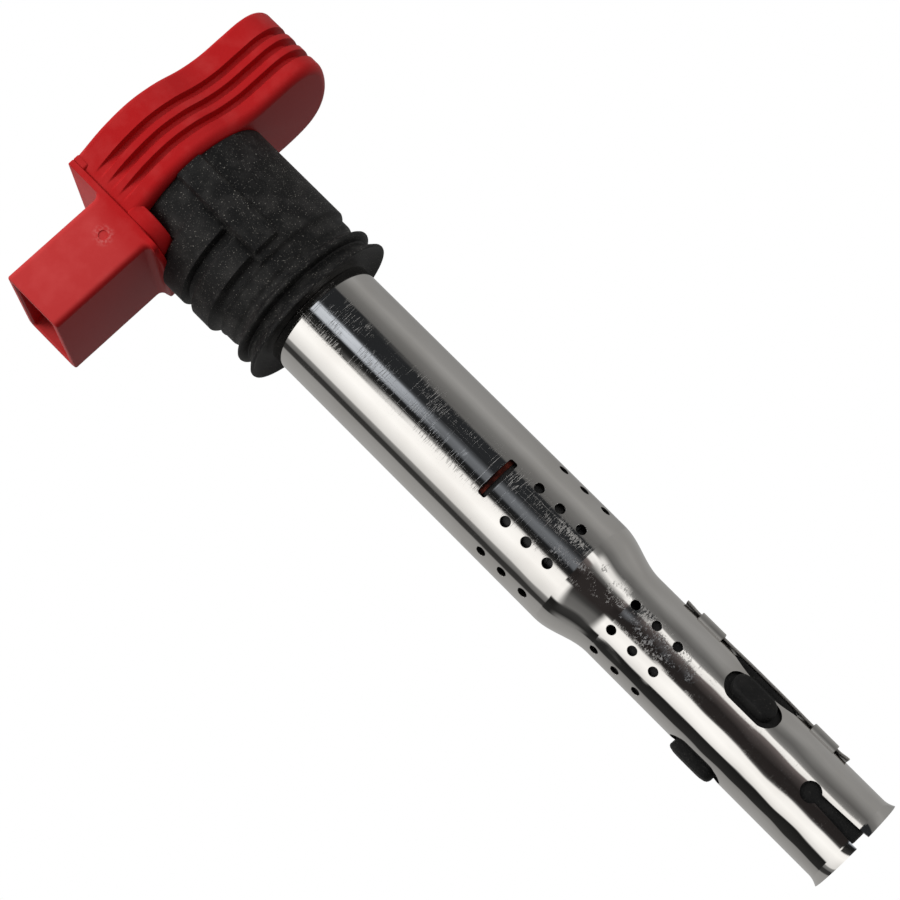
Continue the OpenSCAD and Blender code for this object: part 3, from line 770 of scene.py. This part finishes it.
def red_plastic():
    """Satin red polyester: a fine moulded texture, paler by rubbing in places but kept darker on faces
    turned down as painted shade, with splay round the gate.
    """
    material, tree, shader = new_material("satin_red_polyester", Roughness=0.44, Specular_IOR_Level=0.13)
    place = add_node(tree, "TexCoord", output="Object")
    # Pale flecks in a ring round the gate's dimple
    away = add_node(tree, "VectorMath", [place, head_turn @ gate], "Value", operation="DISTANCE")
    splay = add_node(tree, "MapRange", [speckle(tree, 0.5, 8), 0.42, 0.66, 0, 0.25])
    for share in (add_node(tree, "MapRange", [away, 2.2 * MM, 0.9 * MM]),
                  add_node(tree, "MapRange", [away, 0.8 * MM, 1.0 * MM])):
        splay = add_node(tree, "Math", [splay, share], operation="MULTIPLY")
    # Paler by rubbing in patches, and most on the socket, but faces turned down are left out, which keeps
    # them darker red as painted shade
    wear_and_shade = add_node(tree, "MapRange", [speckle(tree, 4, 8), 0.48, 0.8, 0, 0.4])
    x = add_node(tree, "SeparateXYZ", [place], "X")
    handled = add_node(tree, "MapRange", [x, -14 * MM, -19 * MM, 0, 0.6])
    wear_and_shade = add_node(tree, "Math", [wear_and_shade, handled], operation="ADD")
    # Painted shade: faces turned down keep the darker red
    facing_up = add_node(tree, "SeparateXYZ", [add_node(tree, "NewGeometry", output="Normal")], "Z")
    outside_painted_shade = add_node(tree, "MapRange", [facing_up, -0.8, -0.3])
    wear_and_shade = add_node(tree, "Math", [wear_and_shade, outside_painted_shade], operation="MULTIPLY")
    red = add_node(tree, "Mix", {0: wear_and_shade, 6: linear("#ae1a1c"), 7: linear("#c0403f")}, 2,
                   data_type="RGBA")
    surface(tree, shader, splay, red, "#e2a6a2", speckle(tree, 0.25, 3), 0.02, 0.5)
    return material


red = red_plastic()
place_piece(housing, "coil", "connector_housing", red)


# The grip cap: the head's pull handle, moulded in the same red polyester. Three deep grooves run round
# it under a thick top ridge and fade out towards the plate. A spigot under it holds the seal collar.
grip_low, chamber_low, chamber_high = 30.8, 33, 43.8
grip_points = [(-13.7, -12.7), (-12, -13.4), (-6.5, -15.8), (-0.3, -16.6), (5.5, -15), (11, -11.9),
               (15.5, -10.5), (20.5, -10.4), (25, -10.2), (28.4, -8.4), (30.8, -4.4), (31.7, 1.5),
               (31.4, 7.5), (29.8, 12.2), (26.5, 15.3), (21, 16.3), (14, 15.7), (6, 14.5), (-2, 13.6),
               (-13.7, 13.1)]


def through(points, steps=14):
    """A smooth curve through points by Catmull and Rom's rule, its two ends doubled."""
    row = [points[0]] + points + [points[-1]]
    curve = []
    for a, b, c, d in zip(row, row[1:], row[2:], row[3:]):
        for t in steps_between(0, 1, steps):
            curve.append(tuple(0.5 * (2 * q + (r - p) * t + (2 * p - 5 * q + 4 * r - s) * t ** 2
                                      + (3 * q - p - 3 * r + s) * t ** 3) for p, q, r, s in zip(a, b, c, d)))
    return curve + [points[-1]]


def drawn_in(curve):
    """The direction into the outline at each point of the curve. The ends keep to the plate's face."""
    inner = []
    for k in range(len(curve)):
        (x0, y0), (x1, y1) = curve[max(k - 1, 0)], curve[min(k + 1, len(curve) - 1)]
        length = hypot(x1 - x0, y1 - y0)
        inner.append((-(y1 - y0) / length, (x1 - x0) / length))
    inner[0], inner[-1] = (0, 1), (0, -1)
    return inner


grip_curve = through(grip_points)
grip_in = drawn_in(grip_curve)
groove_zs, groove_depth = (35.0, 37.9, 40.8), 1.5
top_round, low_round = 0.8, 1.8
arcs = [pi / 2 * k / 8 for k in range(9)]
rows = [grip_low + low_round - low_round * cos(a) for a in arcs]
rows += steps_between(grip_low + low_round + 0.1, head_top - top_round, 116)
rows += [head_top - top_round + top_round * sin(a) for a in arcs]
grip = stack("grip_cap", grip_curve, [(z, 1) for z in rows])
columns = kdtree.KDTree(len(grip_curve))
for k, (x, y) in enumerate(grip_curve):
    columns.insert((x, y, 0), k)
columns.balance()
for vertex in grip.data.vertices:
    k = columns.find((vertex.co.x / MM, vertex.co.y / MM, 0))[1]
    z = vertex.co.z / MM
    low, high = (grip_low + low_round - z) / low_round, (z - head_top + top_round) / top_round
    inset = low_round * (1 - sqrt(max(0, 1 - max(0, low) ** 2)))
    inset += top_round * (1 - sqrt(max(0, 1 - max(0, high) ** 2)))
    groove = sum(1 - ease(abs(z - middle), 0.5, 0.85) for middle in groove_zs)
    inset += 0.02 + groove * groove_depth * ease(grip_curve[k][0], -13.2, -6.5)
    vertex.co.x += grip_in[k][0] * inset * MM
    vertex.co.y += grip_in[k][1] * inset * MM
shoulder = moved(stack("shoulder", plate_outline(24, 6, top=32.5), [(plate_back, 1), (-10.7, 1)]), OUTWARDS)
combine(grip, "UNION", rounded(shoulder, 0.35))
tab = moved(stack("tab", plate_outline(43.2, 0.5), [(plate_back, 1), (-12.5, 1)]), OUTWARDS)
combine(grip, "UNION", rounded(tab, 0.2))
spigot_r, spigot_low, hole_r = 12.6, 22, 10.5
combine(grip, "UNION", stack("spigot", circle(spigot_r, 128), [(spigot_low, 1), (31.5, 1)]))
# The chamber follows the outline inside a thick wall
grip_wall = 4
inner = [(x + grip_wall * nx, y + grip_wall * ny) for (x, y), (nx, ny) in zip(grip_curve, grip_in)]
inner = [(x, y) for x, y in inner if x > plate_back + grip_wall
         and min(hypot(x - a, y - b) for a, b in grip_curve) > grip_wall - 0.1]
combine(grip, "DIFFERENCE", stack("chamber", inner, [(chamber_low, 1), (chamber_high, 1)]))
combine(grip, "DIFFERENCE", stack("hole", circle(hole_r, 128), [(spigot_low - 1, 1), (33.5, 1)]))
moved(grip, head_turn)
smooth(grip, 38)
place_piece(grip, "coil", "grip_cap", red)


# The seal collar: black rubber drawn over the head's spigot and the tube's top. Two thin lips seal the
# plug well, two thick rings stand round the socket's side, and a rib runs down its front and its back.
rib_out = 1.1


def collar_radius(degree, z):
    """The collar's outer radius in mm above its lips."""
    ringed = ease(abs(degree), 101, 105)
    grooves = sum(1 - ease(abs(z - middle), 0.6, 1.3) for middle in (10.4, 17.2))
    body = 15 + ringed * (0.5 * (1 - ease(z, 23.5, 25)) - 1.6 * grooves)
    rib = (1 - ease(abs(abs(degree) - 90), 9.5, 10.6)) * ease(z, 10.8, 11.5)
    foot = 13.9 + 0.3 * ease(z, 5.9, 7)
    return foot + (body - foot) * ease(z, 9.1, 9.7) + rib_out * rib


collar_top, shelf_z = grip_low, spigot_low
# The lips and the foot above them: heights and radii up the outside
lips = [(1.3, hole_r), (1.25, 12), (1.1, 13.4), (0.6, 14.5), (0.15, 15.3), (0, 15.65), (0.05, 15.82),
        (0.25, 15.9), (0.5, 15.85), (0.95, 15.4), (1.6, 14.7), (2.2, 14.25), (2.8, 14.0), (3.05, 14.1),
        (3.2, 14.6), (3.4, 15.15), (3.6, 15.42), (3.85, 15.52), (4.1, 15.48), (4.35, 15.25), (4.7, 14.7),
        (5.05, 14.2), (5.5, 13.95)]
rows = lips + [(z, 14.5) for z in steps_between(6, collar_top - 0.4, 90)]
rows += [(collar_top - 0.4, 14.5), (collar_top - 0.1, 14.35), (collar_top, 14.1), (collar_top, spigot_r),
         (shelf_z, spigot_r), (shelf_z, hole_r), (1.3, hole_r)]
collar = stack("seal_collar", circle(1, 288), rows, filled=False)
select_only(collar)
bpy.ops.object.mode_set(mode="EDIT")
bpy.ops.mesh.select_all(action="SELECT")
bpy.ops.mesh.remove_doubles(threshold=0.002 * MM)
bpy.ops.mesh.normals_make_consistent(inside=False)
bpy.ops.object.mode_set(mode="OBJECT")
for vertex in collar.data.vertices:
    co, z = vertex.co, vertex.co.z / MM
    r = hypot(co.x, co.y) / MM
    if z > 5.9 and r > 14.2:
        wanted = collar_radius(degrees(atan2(co.y, co.x)), z) - (0.15 if z > collar_top - 0.2 else 0)
        co.x, co.y = co.x * wanted / r, co.y * wanted / r
# The head's shoulder and plate stand in cuts at the collar's top
for low, high_x in ((24, -10.7), (plate_low, plate_back)):
    block = stack("block", rounded_box(20, 40, 0.3, 2), [(low, 1), (35, 1)])
    combine(collar, "DIFFERENCE", moved(block, head_turn @ Matrix.Translation(((high_x - 10) * MM, 0, 0))))
smooth(collar, 40)
place_piece(collar, "coil", "seal_collar", rubber("dusty_rubber", 0.75, 0.3))
